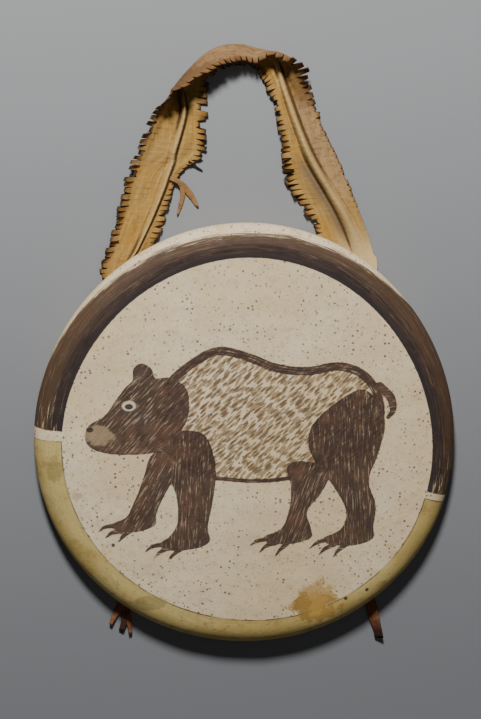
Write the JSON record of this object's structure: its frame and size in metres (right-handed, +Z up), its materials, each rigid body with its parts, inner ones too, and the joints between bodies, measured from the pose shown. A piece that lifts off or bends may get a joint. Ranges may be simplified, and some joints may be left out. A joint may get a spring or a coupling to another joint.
{
  "type": "hide shield",
  "caption": "Round dished rawhide shield with a painted face and a two-colour border, lying on its back with a fringed leather carrying strap laid out as a loop.",
  "frame": {"origin": "on the ground plane, under the middle of the whole object's box", "axes": "+Z up out of the face, +Y towards the strap loop, +X to the right when looking at the face"},
  "size_m": [0.502, 0.7332, 0.05],
  "materials": {
    "rawhide": "dry rawhide with a cream ground, fine pores, and matt earth-colour paint: dark brown and ochre border, brown figure",
    "tanned_leather": "soft tanned leather, napped, golden tan, darker along its cut fringe",
    "lace_leather": "reddish brown leather lace, dark at its cut ends",
    "dark_string": "thin dark brown string of twisted hide"
  },
  "bodies": {
    "root": {"rawhide_disc": "rawhide", "carrying_strap": "tanned_leather", "strap_lace": "lace_leather", "strap_string": "dark_string", "tie_thong_left": "lace_leather", "tie_thong_right": "lace_leather"}
  },
  "joints": []
}
